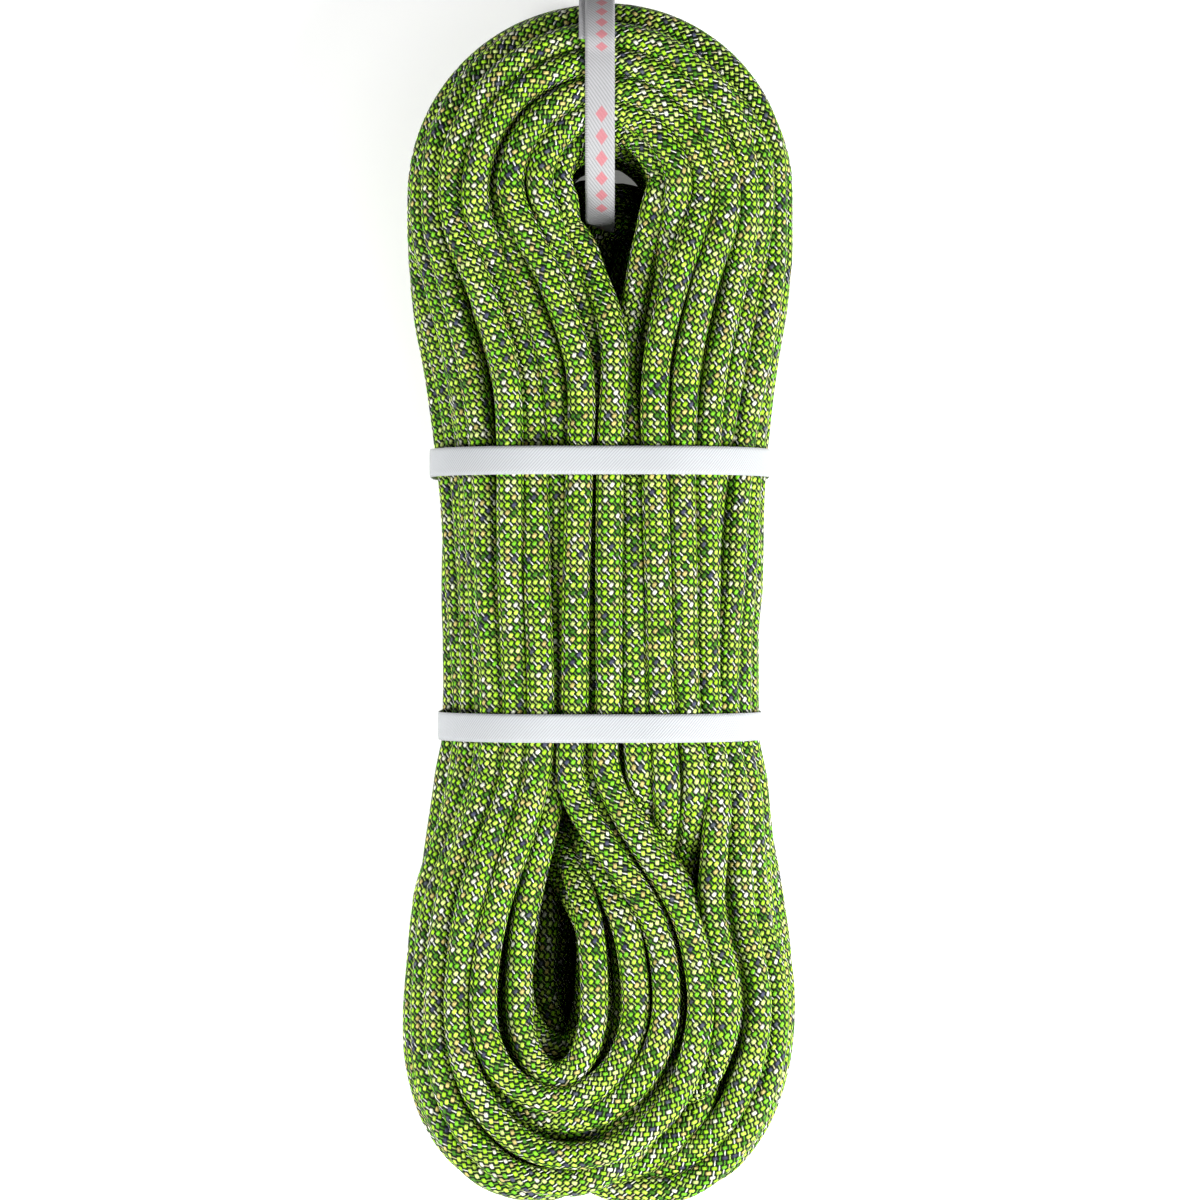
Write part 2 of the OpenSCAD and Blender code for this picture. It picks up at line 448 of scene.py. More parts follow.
def clear_of_ribbon(x, y, dz):
    """Make room on both sides of the ribbon where it hangs in the eye, and hold the strands behind
    it low. A strand that crosses from side to side here is bent sharply, and one still touches"""
    room = 12 * MM * ease(118 * MM, 134 * MM, y) * (dz > 4 * MM) * (y < ARCH_Y)
    x = np.where(np.abs(x) < room, np.sign(x) * room, x)
    in_eye = (np.hypot(x, y - ARCH_Y) < 15 * MM) & (dz < 7 * MM)
    y = np.where(in_eye, np.minimum(y, ARCH_Y + 4.8 * MM), y)
    return x, y, in_eye


def into_arch(x, y, dz, top):
    """The top: between the eye and the outside, with rounder edges where the ribbon crosses it"""
    aside = np.degrees(np.arctan2(np.abs(x), np.maximum(y - ARCH_Y, 1e-6)))
    under_ribbon = 1 - ease(25, 70, aside)
    centre_x = 5 * MM * ease(10 * MM, 50 * MM, dz)
    centre = 41.5 * MM
    half = ARCH_R - ROPE_R - centre
    radius = np.maximum(np.hypot(x - centre_x, y - ARCH_Y), 1e-6)
    off, arch_dz = into_box(radius - centre, dz, half + 0 * x, ARCH_HALF_DEPTH - ROPE_R,
                            (8 + 9 * under_ribbon) * MM)
    scale = np.where(top, (centre + off) / radius, 1)
    dz = np.where(top, arch_dz, dz)
    x = centre_x + (x - centre_x) * scale
    y = np.where(top, ARCH_Y + (y - ARCH_Y) * scale, y)
    over = np.maximum(np.hypot(x, y - ARCH_Y), 1e-6)
    outside = np.where((y > ARCH_Y) & (over > ARCH_R - ROPE_R), (ARCH_R - ROPE_R) / over, 1)
    x = x * outside
    y = np.where(y > ARCH_Y, ARCH_Y + (y - ARCH_Y) * outside, y)
    return x, y, dz


def into_foot(x, y, dz):
    """The foot: two lobes side by side, rounded at the front and the back"""
    foot = 52 * MM
    foot_x = np.clip(x, -19 * MM, 19 * MM)
    foot_y = -HALF_L + foot
    radius = np.maximum(np.hypot(x - foot_x, y - foot_y), 1e-6)
    off, foot_dz = into_box(radius, dz, foot - ROPE_R, MID_Z - ROPE_R, 24 * MM)
    scale = np.where(y < foot_y, off / radius, 1)
    dz = np.where(y < foot_y, foot_dz, dz)
    x = foot_x + (x - foot_x) * scale
    y = np.where(y < foot_y, foot_y + (y - foot_y) * scale, y)
    return x, y, dz


def keep_inside(points):
    """Move points into the outline that the bands, the ribbon and the floor leave free"""
    x, y, z = points.T
    depth = half_depth(y) - ROPE_R
    waist = np.abs(y) < 75 * MM
    corner = np.where(waist, 35.3 * MM, 30 * MM)
    x, dz = into_box(x, z - MID_Z, half_width(y) - ROPE_R, depth, corner)
    x, y, in_eye = clear_of_ribbon(x, y, dz)
    x, y, dz = into_arch(x, y, dz, (y > ARCH_Y) & ~in_eye)
    x, y, dz = into_foot(x, y, dz)
    return np.stack([x, y, np.maximum(MID_Z + dz, ROPE_R)], axis=1)


def settle(points, rounds):
    """Push strands apart, towards lying beside and on each other, and spread each push along the
    rope. It softens bends but sets no limit to them, and where strands crowd, some stay pressed
    into each other"""
    home = points.copy()
    count = len(points)
    held = int(HELD_END / STEP)
    free = np.ones((count, 1))
    free[:held] = 0
    free[-held:] = 0
    for turn in range(rounds):
        gap = ROPE_D * PRESSED * min(1, 0.6 + 0.8 * turn / rounds)
        if turn % 5 == 0:
            first, second = near_pairs(points, gap * 1.2, 5)
        away = points[first] - points[second]
        distance = np.linalg.norm(away, axis=1)
        push = np.clip(gap - distance, 0, None) / np.maximum(distance, 1e-6)
        touch = push > 0
        shove = away[touch] * push[touch][:, None] / 2
        contacts = np.bincount(first[touch], minlength=count)
        contacts += np.bincount(second[touch], minlength=count)
        move = add_up(first[touch], shove, count) - add_up(second[touch], shove, count)
        points = points + free * move / np.maximum(contacts, 1)[:, None] * OVERSHOOT
        shift = points - home
        for reach, stiffness in ((1, 0.35), (4, 0.3)):
            middle = (shift[:-2 * reach] + shift[2 * reach:]) / 2
            shift[reach:-reach] += (middle - shift[reach:-reach]) * stiffness
        points = home + shift * free * SHIFT_KEPT
        points = np.where(free > 0, keep_inside(points), home)
    return points


# ---------------------------------------------------------------- Meshes

def add_mesh(name, points, faces, uvs=None):
    """A smooth mesh of quads, with its UVs given for each corner of each face"""
    mesh = bpy.data.meshes.new(name)
    faces = np.asarray(faces, dtype=np.int32)
    mesh.vertices.add(len(points))
    mesh.vertices.foreach_set("co", np.asarray(points, dtype=np.float32).ravel())
    mesh.loops.add(faces.size)
    mesh.loops.foreach_set("vertex_index", faces.ravel())
    mesh.polygons.add(len(faces))
    mesh.polygons.foreach_set("loop_start", np.arange(0, faces.size, 4, dtype=np.int32))
    mesh.polygons.foreach_set("loop_total", np.full(len(faces), 4, dtype=np.int32))
    mesh.polygons.foreach_set("use_smooth", np.ones(len(faces), dtype=bool))
    for layer_name, values in (uvs or {}).items():
        layer = mesh.uv_layers.new(name=layer_name)
        layer.data.foreach_set("uv", np.asarray(values, dtype=np.float32).ravel())
    mesh.update(calc_edges=True)
    mesh.validate()
    piece = bpy.data.objects.new(name, mesh)
    bpy.context.scene.collection.objects.link(piece)
    return piece


def carried_frames(points):
    """Two side directions at each point, carried along the line without twisting"""
    forward = np.gradient(points, axis=0)
    forward /= np.linalg.norm(forward, axis=1)[:, None]
    side = np.cross(forward[0], (0.3, 0.2, 1))
    side /= np.linalg.norm(side)
    sides = np.empty_like(points)
    for i, ahead in enumerate(forward):
        side = side - ahead * side.dot(ahead)
        side = side / math.sqrt(side.dot(side))
        sides[i] = side
    return sides, np.cross(forward, sides)


def grid_faces(rows, columns):
    """Quads of a grid of points whose columns close on themselves"""
    row = np.arange(rows - 1)[:, None]
    column = np.arange(columns)[None, :]
    after = (column + 1) % columns
    corners = (row * columns + column, row * columns + after,
               (row + 1) * columns + after, (row + 1) * columns + column)
    shape = (rows - 1, columns)
    return np.stack([np.broadcast_to(corner, shape) for corner in corners], axis=2).reshape(-1, 4)


def quad_uvs(low, high, columns):
    """UVs for each corner of a tube's quads: once round it in U, and each row from low to high"""
    shape = (len(low), columns)
    low, high = (np.broadcast_to(edge[:, None], shape) for edge in (low, high))
    left = np.broadcast_to(np.arange(columns)[None, :] / columns, shape)
    right = left + 1 / columns
    corners = [(left, low), (right, low), (right, high), (left, high)]
    return np.stack([np.stack(corner, axis=2) for corner in corners], axis=2).reshape(-1, 2)


# The sheath's braid: fat blocks in rows and columns, and a thin float between every four
BRAID_COLUMNS = 13
BRAID_PITCH = 2.7 * MM
TILE_PITCHES = 65
TILE = BRAID_PITCH * TILE_PITCHES
RINGS_PER_TILE = 65
SIDES = 20


def braid_uvs(rows):
    """UVs that repeat every tile, so that the baked weave stays sharp over the rope's length. The
    two rings turned in at the start come before the first whole tile"""
    low = (np.arange(rows - 1) + RINGS_PER_TILE - 2) % RINGS_PER_TILE / RINGS_PER_TILE
    return quad_uvs(low, low + 1 / RINGS_PER_TILE, SIDES)


def rope_tube(line):
    """The sheath as one tube, turned in at both ends round the core"""
    spacing = TILE / RINGS_PER_TILE
    centres = evenly(line, spacing)
    sides, ups = carried_frames(centres)
    turn = np.linspace(0, 2 * math.pi, SIDES, endpoint=False)
    circle = (np.cos(turn)[None, :, None] * sides[:, None]
              + np.sin(turn)[None, :, None] * ups[:, None])
    radius = np.full(len(centres), ROPE_R)
    radius[0] = radius[-1] = ROPE_R - 0.5 * MM
    rings = centres[:, None] + circle * radius[:, None, None]
    first_in = centres[0] + (centres[1] - centres[0]) * 0.6 + circle[0] * CORE_R
    last_in = centres[-1] + (centres[-2] - centres[-1]) * 0.6 + circle[-1] * CORE_R
    first_lip = centres[0] + circle[0] * CORE_R
    last_lip = centres[-1] + circle[-1] * CORE_R
    rings = np.concatenate([[first_in], [first_lip], rings, [last_lip], [last_in]])
    rows = len(rings)
    uvs = braid_uvs(rows)
    faces = grid_faces(rows, SIDES)
    rope = add_mesh("climbing_rope", rings.reshape(-1, 3), faces, {"OFBake": uvs})
    return rope, centres


def strip_uvs(rows, columns):
    """UVs of a closed strip: once along and once round, without sharing an edge"""
    low = np.arange(rows - 1) / (rows - 1)
    return quad_uvs(low, low + 1 / (rows - 1), columns)


# ---------------------------------------------------------------- Bands, ribbon and rope ends

TAPE_T = 0.8 * MM
BAND_W = 10 * MM
RIBBON_W = 10.4 * MM
BAND_CORNER = 40.8 * MM
RIBBON_CORNER = 22 * MM
RIBBON_LAP = 46 * MM
RIBBON_DROOP = 24 * MM
RIBBON_SINK = 9 * MM
RIBBON_POINTS = 440

# How much length of cloth each tape's weave is scaled to
BAND_CLOTH = 0.38
RIBBON_CLOTH = 0.36


def rounded_box(half_x, half_y, corner, count):
    """Evenly spaced points round a box with round corners, from the middle of its low side"""
    arcs = []
    for x, y, start in ((1, -1, -90), (1, 1, 0), (-1, 1, 90), (-1, -1, 180)):
        turn = np.radians(np.linspace(start, start + 90, 24))
        arcs.append(np.stack([x * (half_x - corner) + corner * np.cos(turn),
                              y * (half_y - corner) + corner * np.sin(turn),
                              np.zeros(24)], axis=1))
    loop = np.vstack([[(0, -half_y, 0)], *arcs, [(0, -half_y, 0)]])
    gone = np.concatenate([[0], np.cumsum(np.linalg.norm(np.diff(loop, axis=0), axis=1))])
    at = np.linspace(0, gone[-1], count + 1)
    return np.stack([np.interp(at, gone, loop[:, axis]) for axis in range(3)], axis=1), gone[-1]


def tape_section(width, count=10):
    """Points round a flat tape's section, with soft edges: across, and out from its middle in
    half thicknesses"""
    across = np.linspace(-1, 1, count)
    edge = np.sqrt(1 - np.abs(across) ** 8 * 0.75)
    front = np.stack([across * width / 2, edge], axis=1)
    return np.vstack([front, front[::-1] * (1, -1)])


def tape(name, centres, across, outward, width, thickness):
    """A flat tape swept along a line, with its thickness given along it"""
    section = tape_section(width)
    rows = (centres[:, None] + across[:, None] * section[None, :, :1]
            + outward[:, None] * section[None, :, 1:] * thickness[:, None, None] / 2)
    count = len(section)
    uvs = strip_uvs(len(centres), count)
    return add_mesh(name, rows.reshape(-1, 3), grid_faces(len(centres), count), {"OFBake": uvs})


def waist_band(name, material):
    """A stretched tape round the waist, just proud of the strands under it"""
    low, high = (np.array(corner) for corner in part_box(name))
    middle = (low + high) / 2
    half_x, half_z = (high - low)[[0, 2]] / 2 - TAPE_T / 2
    loop, girth = rounded_box(half_x, half_z, BAND_CORNER, 360)
    centres = np.stack([loop[:, 0], np.full(len(loop), middle[1]), loop[:, 1] + middle[2]], axis=1)
    forward = np.gradient(centres, axis=0)
    forward[0] = forward[-1] = centres[1] - centres[-2]
    forward /= np.linalg.norm(forward, axis=1)[:, None]
    outward = np.cross(forward, (0, 1, 0))
    # The loop starts at the hank's back, where outward is down
    if outward[0, 2] > 0:
        outward = -outward
    across = np.tile((0.0, 1.0, 0.0), (len(centres), 1))
    thickness = np.full(len(centres), TAPE_T)
    piece = tape(name + "_tape", centres, across, outward, BAND_W, thickness)
    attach(piece, name)
    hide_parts(name)
    piece.data.materials.append(material)


def ribbon_line():
    """The ribbon's middle line, its outward direction and its length: over the top, down into
    the upper eye where it hangs a little, through the eye, and round to a lap over its start"""
    low, high = (np.array(corner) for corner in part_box("hang_ribbon"))
    half_y, half_z = (high - low)[1:] / 2 - TAPE_T / 2
    middle_y, middle_z = (low + high)[1:] / 2
    count = RIBBON_POINTS
    loop, girth = rounded_box(half_z, half_y, RIBBON_CORNER, count)
    loop = loop[:-1]
    first = int(np.argmin(np.hypot(loop[:, 0] - half_z, loop[:, 1] - half_y * 0.35)))
    lap = int(round(count * RIBBON_LAP / girth))
    order = (np.arange(count + lap) + first) % count
    y = middle_y + loop[order, 1]
    z = middle_z + loop[order, 0]
    droop = (1 - ease(150 * MM, 190 * MM, y)) * ease(62 * MM, 74 * MM, z)
    centres = np.stack([0 * y, y - RIBBON_DROOP * droop, z - RIBBON_SINK * droop], axis=1)
    forward = np.gradient(centres, axis=0)
    forward /= np.linalg.norm(forward, axis=1)[:, None]
    outward = np.cross(forward, (1.0, 0.0, 0.0))
    if outward[:, 1][np.argmax(y)] < 0:
        outward = -outward
    # The lap lies on the ribbon's start, which is a little to the left
    place = np.arange(len(order))
    centres += ease(count - 8, count + 2, place)[:, None] * outward * 1.1 * TAPE_T
    centres[:, 0] -= 2.2 * MM * (1 - ease(lap * 0.7, lap * 1.6, place))
    return centres, forward, outward, girth + RIBBON_LAP


def hang_ribbon(material):
    """The woven ribbon, with thinned ends so that its lap lies flat"""
    centres, forward, outward, length = ribbon_line()
    # It twists a little where it hangs in the eye
    tip = int(np.argmin(centres[:, 1]))
    gone = np.abs(np.arange(len(centres)) - tip) * length / len(centres)
    turn = (math.radians(20) * np.exp(-(gone / (14 * MM)) ** 2))[:, None]
    across = np.tile((1.0, 0.0, 0.0), (len(centres), 1))
    tilted = across * np.cos(turn) + outward * np.sin(turn)
    thickness = np.full(len(centres), TAPE_T)
    thickness[[0, -1]] = 0.02 * MM
    out = np.cross(tilted, forward)
    piece = tape("hang_ribbon_tape", centres, tilted, out, RIBBON_W, thickness)
    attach(piece, "hang_ribbon")
    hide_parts("hang_ribbon")
    piece.data.materials.append(material)


def turned(name, profile, start, count=48):
    """A solid turned round a line along Y: the profile is (along Y, radius) points"""
    turn = np.linspace(0, 2 * math.pi, count, endpoint=False)
    rings = [np.stack([start[0] + radius * np.cos(turn), np.full(count, start[1] + along),
                       start[2] + radius * np.sin(turn)], axis=1) for along, radius in profile]
    return add_mesh(name, np.vstack(rings), grid_faces(len(rings), count),
                    {"OFBake": strip_uvs(len(rings), count)})


def rope_end(prefix, tip, materials):
    """The sealed core in the end of the sheath, and the shrunk sleeve round it"""
    sleeve_low, sleeve_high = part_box(prefix + "_sleeve")
    core_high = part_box(prefix + "_core")[1][1]
    length = sleeve_high[1] - sleeve_low[1]
    centre = (tip[0], sleeve_low[1], tip[2])
    outside = (sleeve_high[0] - sleeve_low[0]) / 2
    bore = ROPE_R + 0.03 * MM
    profile = [(0.4 * MM, bore), (0, bore + 0.15 * MM), (0.2 * MM, outside - 0.15 * MM)]
    for along in np.linspace(1 * MM, length - 1 * MM, 60):
        ripple = 0.05 * MM * math.sin(along / MM * 2.4) - 0.05 * MM
        profile.append((along, outside + ripple))
    profile += [(length - 0.3 * MM, outside - 0.2 * MM), (length, bore + 0.15 * MM),
                (length - 0.4 * MM, bore)]
    sleeve = turned(prefix + "_shrunk_sleeve", profile, centre)
    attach(sleeve, "hank")
    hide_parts(prefix + "_sleeve")
    sleeve.data.materials.append(materials["sleeve"])
    core_top = core_high - tip[1]
    profile = [(-20 * MM, 0.02 * MM), (-20 * MM, CORE_R - 0.05 * MM), (0, CORE_R - 0.05 * MM),
               (core_top - 0.5 * MM, CORE_R - 0.1 * MM), (core_top - 0.1 * MM, CORE_R - 0.6 * MM)]
    for radius in np.linspace(CORE_R - 1 * MM, 0.02 * MM, 8):
        profile.append((core_top - 0.25 * MM * (radius / CORE_R) ** 2, radius))
    core = turned(prefix + "_sealed_core", profile, tip)
    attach(core, "hank")
    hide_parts(prefix + "_core")
    core.data.materials.append(materials["core"])
    return [sleeve, core]


# ---------------------------------------------------------------- Materials

class Nodes:
    """Short calls that add shader nodes to one material. Most give the new node's output"""

    def __init__(self, name):
        self.material = bpy.data.materials.new(name)
        self.material.use_nodes = True
        self.tree = self.material.node_tree
        self.shader = self.tree.nodes["Principled BSDF"]

    def add(self, kind, **settings):
        node = self.tree.nodes.new(kind)
        for key, value in settings.items():
            setattr(node, key, value)
        return node

    def put(self, value, socket):
        if isinstance(value, bpy.types.NodeSocket):
            self.tree.links.new(value, socket)
        else:
            socket.default_value = value

    def math(self, operation, *values):
        node = self.add("ShaderNodeMath", operation=operation)
        for value, socket in zip(values, node.inputs):
            self.put(value, socket)
        return node.outputs[0]

    def smooth(self, value, low, high):
        node = self.add("ShaderNodeMapRange", interpolation_type="SMOOTHSTEP")
        self.put(value, node.inputs["Value"])
        node.inputs["From Min"].default_value = low
        node.inputs["From Max"].default_value = high
        return node.outputs[0]

    def join(self, *values):
        node = self.add("ShaderNodeCombineXYZ")
        for value, socket in zip(values, node.inputs):
            self.put(value, socket)
        return node.outputs[0]

    def ramp(self, value, stops, stepped=False):
        node = self.add("ShaderNodeValToRGB")
        node.color_ramp.interpolation = "CONSTANT" if stepped else "LINEAR"
        elements = node.color_ramp.elements
        while len(elements) < len(stops):
            elements.new(0.5)
        for element, (place, colour) in zip(elements, stops):
            element.position = place
            element.color = (*colour, 1)
        self.put(value, node.inputs["Fac"])
        return node.outputs["Color"]

    def blend(self, amount, first, second, kind="MIX"):
        node = self.add("ShaderNodeMix", data_type="RGBA", blend_type=kind)
        self.put(amount, node.inputs["Factor"])
        for value, socket in ((first, node.inputs["A"]), (second, node.inputs["B"])):
            self.put((*value, 1) if isinstance(value, tuple) else value, socket)
        return node.outputs["Result"]

    def hash(self, *values):
        node = self.add("ShaderNodeTexWhiteNoise", noise_dimensions="3D")
        self.put(self.join(*values), node.inputs["Vector"])
        return node.outputs["Value"]

    def uv(self):
        node = self.add("ShaderNodeUVMap", uv_map="OFBake")
        parts = self.add("ShaderNodeSeparateXYZ")
        self.tree.links.new(node.outputs["UV"], parts.inputs[0])
        return parts.outputs[0], parts.outputs[1]

    def bump(self, height, depth, strength=1.0):
        node = self.add("ShaderNodeBump")
        node.inputs["Strength"].default_value = strength
        node.inputs["Distance"].default_value = depth
        self.put(height, node.inputs["Height"])
        self.put(node.outputs["Normal"], self.shader.inputs["Normal"])


def leaning(nodes, x, y, tilt, half_long, half_wide, power):
    """How far a point is from a leaning patch's middle, 1 at its edge, and its place across"""
    turn = math.radians(tilt)
    along = nodes.math("ADD", nodes.math("MULTIPLY", x, math.cos(turn) / half_long),
                       nodes.math("MULTIPLY", y, math.sin(turn) / half_long))
    aside = nodes.math("ADD", nodes.math("MULTIPLY", x, -math.sin(turn) / half_wide),
                       nodes.math("MULTIPLY", y, math.cos(turn) / half_wide))
    far = nodes.math("ADD", nodes.math("POWER", nodes.math("ABSOLUTE", along), power),
                     nodes.math("POWER", nodes.math("ABSOLUTE", aside), power))
    return nodes.math("POWER", far, 1 / power), aside


BLOCK_COLOURS = [
    (0.00, (0.32, 0.64, 0.02)),
    (0.28, (0.50, 0.76, 0.08)),
    (0.55, (0.17, 0.52, 0.02)),
    (0.70, (0.58, 0.72, 0.22)),
    (0.81, (0.52, 0.44, 0.14)),
    (0.87, (0.68, 0.70, 0.54)),
    (0.92, (0.05, 0.18, 0.01)),
    (0.98, (0.07, 0.08, 0.10)),
]
FLOAT_COLOURS = [
    (0.00, (0.40, 0.58, 0.12)),
    (0.48, (0.10, 0.32, 0.02)),
    (0.74, (0.55, 0.50, 0.28)),
    (0.82, (0.78, 0.82, 0.70)),
]


def braid_cell(nodes, p, q, offset):
    """The nearest patch's column and row, and the way to it across and along in millimetres"""
    column_w = 2 * math.pi * ROPE_R / BRAID_COLUMNS / MM
    column = nodes.math("FLOOR", nodes.math("ADD", p, 0.5 + offset))
    row = nodes.math("FLOOR", nodes.math("ADD", q, 0.5 + offset))
    x = nodes.math("SUBTRACT", nodes.math("ADD", p, offset), column)
    x = nodes.math("MULTIPLY", x, column_w)
    y = nodes.math("SUBTRACT", nodes.math("ADD", q, offset), row)
    y = nodes.math("MULTIPLY", y, BRAID_PITCH / MM)
    column = nodes.math("FLOORED_MODULO", column, BRAID_COLUMNS)
    row = nodes.math("FLOORED_MODULO", row, TILE_PITCHES)
    return x, y, column, row


def on_line(nodes, kind, column, row, number):
    """1 on the yarn of that number, which winds one way for ADD and the other for SUBTRACT"""
    yarn = nodes.math("FLOORED_MODULO", nodes.math(kind, column, row), BRAID_COLUMNS)
    return nodes.math("COMPARE", yarn, number, 0.1)


def braid_blocks(nodes, p, q):
    """The fat blocks' colour and height: each is a pair of yarns, and one line is flecked. Towards
    each block's edge and in the gaps between blocks the colour is painted shade
    """
    x, y, column, row = braid_cell(nodes, p, q, 0)
    block, aside = leaning(nodes, x, y, 60, 1.12, 0.84, 2.8)
    height = nodes.math("SUBTRACT", 1, nodes.math("POWER", block, 2.4))
    height = nodes.math("MAXIMUM", height, 0)
    pair = nodes.math("COSINE", nodes.math("MULTIPLY", aside, math.pi * 1.5))
    height = nodes.math("MULTIPLY", height, nodes.math("MULTIPLY_ADD", pair, -0.06, 0.94))
    colour = nodes.ramp(nodes.hash(column, row, 1.5), BLOCK_COLOURS, stepped=True)
    flecked = on_line(nodes, "SUBTRACT", column, row, 0)
    dark = nodes.math("GREATER_THAN", nodes.hash(column, row, 4.5), 0.7)
    colour = nodes.blend(nodes.math("MULTIPLY", flecked, dark), colour, (0.055, 0.06, 0.10))
    pale = nodes.math("LESS_THAN", nodes.hash(column, row, 4.5), 0.2)
    colour = nodes.blend(nodes.math("MULTIPLY", flecked, pale), colour, (0.72, 0.75, 0.62))
    # Each block's tone differs at random, and it is dimmer in the middle, between its two yarns:
    # painted shade in that crease
    tone_and_crease_shade = nodes.math("MULTIPLY_ADD", nodes.hash(column, row, 7.5), 0.5, 0.8)
    tone_and_crease_shade = nodes.math("MULTIPLY", tone_and_crease_shade, nodes.math("MULTIPLY_ADD", pair, -0.1, 0.9))
    colour = nodes.blend(1.0, colour, nodes.join(tone_and_crease_shade, tone_and_crease_shade, tone_and_crease_shade), "MULTIPLY")
    # The colour fades to near black towards each block's edge and in the gaps between blocks:
    # painted shade in the braid's hollows
    return nodes.blend(nodes.smooth(block, 1.06, 0.55), (0.002, 0.008, 0.001), colour), height


def braid_floats(nodes, p, q):
    """The thin floats' colour, height and distance from the middle. Two lines of them are pale"""
    x, y, column, row = braid_cell(nodes, p, q, 0.5)
    thin, _ = leaning(nodes, x, y, -48, 1.08, 0.27, 2.0)
    height = nodes.math("SUBTRACT", 1, nodes.math("MULTIPLY", thin, thin))
    height = nodes.math("MAXIMUM", height, 0)
    colour = nodes.ramp(nodes.hash(column, row, 9.5), FLOAT_COLOURS, stepped=True)
    lines = [on_line(nodes, "ADD", column, row, number) for number in (0, 5)]
    pale = nodes.math("GREATER_THAN", nodes.hash(column, row, 3.5), 0.3)
    pale = nodes.math("MULTIPLY", nodes.math("MAXIMUM", *lines), pale)
    return nodes.blend(pale, colour, (0.88, 0.9, 0.82)), height, thin


def braid_material():
    """Fat blocks leaning one way and thin floats the other, with a few lines that wind round"""
    nodes = Nodes("braided sheath")
    u, v = nodes.uv()
    p = nodes.math("MULTIPLY", u, BRAID_COLUMNS)
    q = nodes.math("MULTIPLY", v, TILE_PITCHES)
    colour, block_height = braid_blocks(nodes, p, q)
    thin_colour, thin_height, thin = braid_floats(nodes, p, q)
    colour = nodes.blend(nodes.smooth(thin, 1.2, 0.8), colour, thin_colour)
    nodes.put(colour, nodes.shader.inputs["Base Color"])
    thin_height = nodes.math("MULTIPLY", thin_height, 0.8)
    nodes.bump(nodes.math("MAXIMUM", block_height, thin_height), 1.0 * MM)
    nodes.shader.inputs["Roughness"].default_value = 0.6
    nodes.shader.inputs["Specular IOR Level"].default_value = 0.12
    return nodes.material


def wave(nodes, way, length):
    """A sine wave of that length"""
    return nodes.math("SINE", nodes.math("MULTIPLY", way, 2 * math.pi / length))


def tape_material(name, colour, length, width, marks=False):
    """Fine diagonal twill, with a plain selvedge along both edges and painted shade in the weave's
    hollows
    """
    nodes = Nodes(name)
    u, v = nodes.uv()
    side = nodes.math("PINGPONG", nodes.math("MULTIPLY", u, 2), 1)
    across = nodes.math("MULTIPLY", side, width / MM)
    along = nodes.math("MULTIPLY", v, length / MM)
    slant = wave(nodes, nodes.math("ADD", along, across), 1.1)
    weft = wave(nodes, nodes.math("SUBTRACT", along, across), 0.45)
    twill = nodes.math("ADD", nodes.math("MULTIPLY", slant, 0.7), nodes.math("MULTIPLY", weft, 0.3))
    edge = nodes.math("ABSOLUTE", nodes.math("SUBTRACT", side, 0.5))
    selvedge = nodes.smooth(edge, 0.40, 0.43)
    rib = wave(nodes, along, 0.5)
    height = nodes.math("ADD", nodes.math("MULTIPLY", twill, nodes.math("SUBTRACT", 1, selvedge)),
                        nodes.math("MULTIPLY", rib, selvedge))
    # The twill's low parts take a dimmer colour: painted shade in the weave's hollows
    twill_hollow_shade = tuple(c * 0.6 for c in colour)
    cloth = nodes.blend(nodes.smooth(height, -1.0, 0.4), twill_hollow_shade, colour)
    if marks:
        cloth = woven_marks(nodes, cloth, along, side, length / MM)
    nodes.put(cloth, nodes.shader.inputs["Base Color"])
    nodes.bump(height, 0.06 * MM, 0.8)
    nodes.shader.inputs["Roughness"].default_value = 0.55
    nodes.shader.inputs["Sheen Weight"].default_value = 0.15
    return nodes.material


def woven_marks(nodes, cloth, along, side, length):
    """Plain red lozenges woven in a row: six, and then a gap of three"""
    step = length / round(length / 4.4)
    place = nodes.math("SUBTRACT", nodes.math("FLOORED_MODULO", along, step), step / 2)
    off = nodes.math("ABSOLUTE", nodes.math("SUBTRACT", side, 0.5))
    lozenge = nodes.math("ADD", nodes.math("DIVIDE", nodes.math("ABSOLUTE", place), 1.8),
                         nodes.math("DIVIDE", off, 0.2))
    in_group = nodes.math("FLOORED_MODULO", nodes.math("ADD", along, 9), 9 * step)
    group = nodes.math("LESS_THAN", in_group, 6 * step)
    amount = nodes.math("MULTIPLY", nodes.smooth(lozenge, 1.05, 0.85), group)
    return nodes.blend(nodes.math("MULTIPLY", amount, 0.85), cloth, (0.36, 0.09, 0.11))


def sleeve_material():
    """Matte black shrunk plastic"""
    nodes = Nodes("shrunk sleeve")
    noise = nodes.add("ShaderNodeTexNoise")
    noise.inputs["Scale"].default_value = 900
    noise.inputs["Detail"].default_value = 3
    blacks = [(0.3, (0.012, 0.013, 0.014)), (0.7, (0.03, 0.032, 0.034))]
    colour = nodes.ramp(noise.outputs["Fac"], blacks)
    nodes.put(colour, nodes.shader.inputs["Base Color"])
    nodes.put(nodes.smooth(noise.outputs["Fac"], -0.6, 1.6), nodes.shader.inputs["Roughness"])
    nodes.bump(noise.outputs["Fac"], 0.08 * MM, 0.5)
    return nodes.material


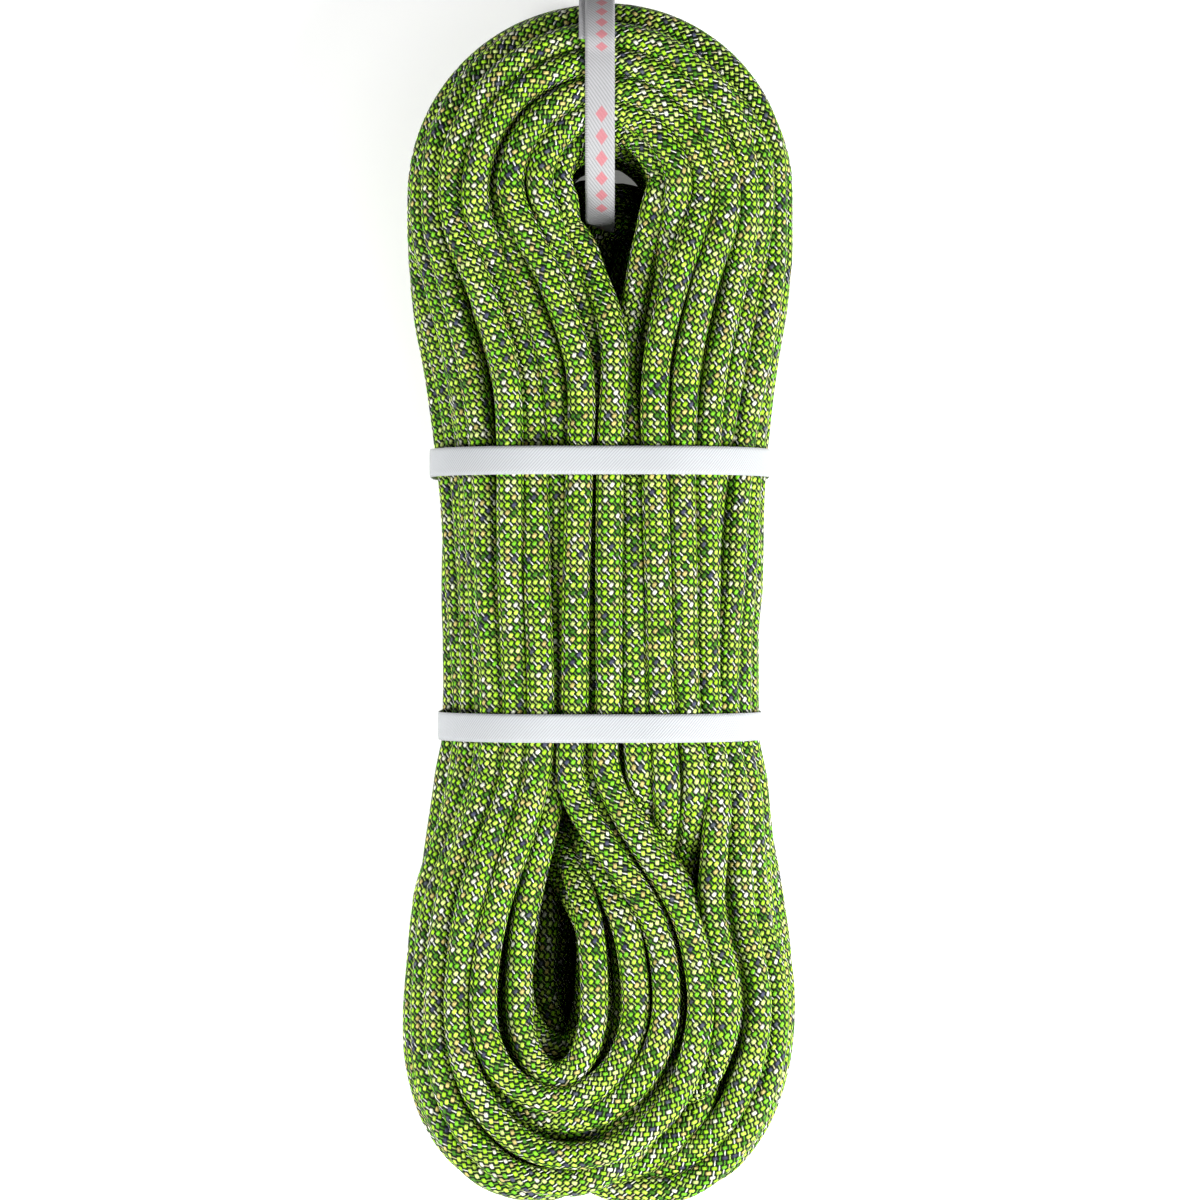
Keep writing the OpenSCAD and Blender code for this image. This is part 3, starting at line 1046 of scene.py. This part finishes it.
def core_material():
    """Sealed ivory yarns, packed side by side"""
    nodes = Nodes("sealed core yarns")
    cells = nodes.add("ShaderNodeTexVoronoi")
    cells.inputs["Scale"].default_value = 900
    edge = nodes.smooth(cells.outputs["Distance"], 0.6, 0.1)
    colour = nodes.blend(edge, (0.42, 0.38, 0.30), (0.80, 0.77, 0.66))
    nodes.put(colour, nodes.shader.inputs["Base Color"])
    nodes.bump(edge, 0.25 * MM, 0.7)
    nodes.shader.inputs["Roughness"].default_value = 0.5
    return nodes.material


def floor_material():
    nodes = Nodes("pale floor")
    nodes.shader.inputs["Base Color"].default_value = (0.9, 0.9, 0.9, 1)
    nodes.shader.inputs["Roughness"].default_value = 0.9
    nodes.shader.inputs["Emission Color"].default_value = (1, 1, 1, 1)
    nodes.shader.inputs["Emission Strength"].default_value = 0.15
    return nodes.material


# ---------------------------------------------------------------- The scene

def pale_floor():
    mesh = bpy.data.meshes.new("floor")
    far = 6
    corners = [(-far, -far, 0), (far, -far, 0), (far, far, 0), (-far, far, 0)]
    mesh.from_pydata(corners, [], [(0, 1, 2, 3)])
    floor = bpy.data.objects.new("floor", mesh)
    floor.data.materials.append(floor_material())
    bpy.context.scene.collection.objects.link(floor)


def make_rope():
    """The whole rope, wound and settled, with its two ends"""
    rounds = 260
    line = settle(evenly(smooth_curve(route()), STEP), rounds)
    rope, centres = rope_tube(line)
    rope.data.materials.append(braid_material())
    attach(rope, "hank")
    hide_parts("rope_hank", "start_tail", "finish_tail", "start_sheath", "finish_sheath")
    ends = {"sleeve": sleeve_material(), "core": core_material()}
    pieces = rope_end("start", np.array(START_ROUTE[0]) * MM, ends)
    pieces += rope_end("finish", np.array(FINISH_ROUTE[0]) * MM, ends)


look_down()
make_rope()
band_cloth = tape_material("band twill", (0.38, 0.395, 0.41), BAND_CLOTH, BAND_W)
for band in ("upper_band", "lower_band"):
    waist_band(band, band_cloth)
ribbon_cloth = tape_material("ribbon weave", (0.30, 0.30, 0.31), RIBBON_CLOTH, RIBBON_W, marks=True)
hang_ribbon(ribbon_cloth)
studio()
pale_floor()
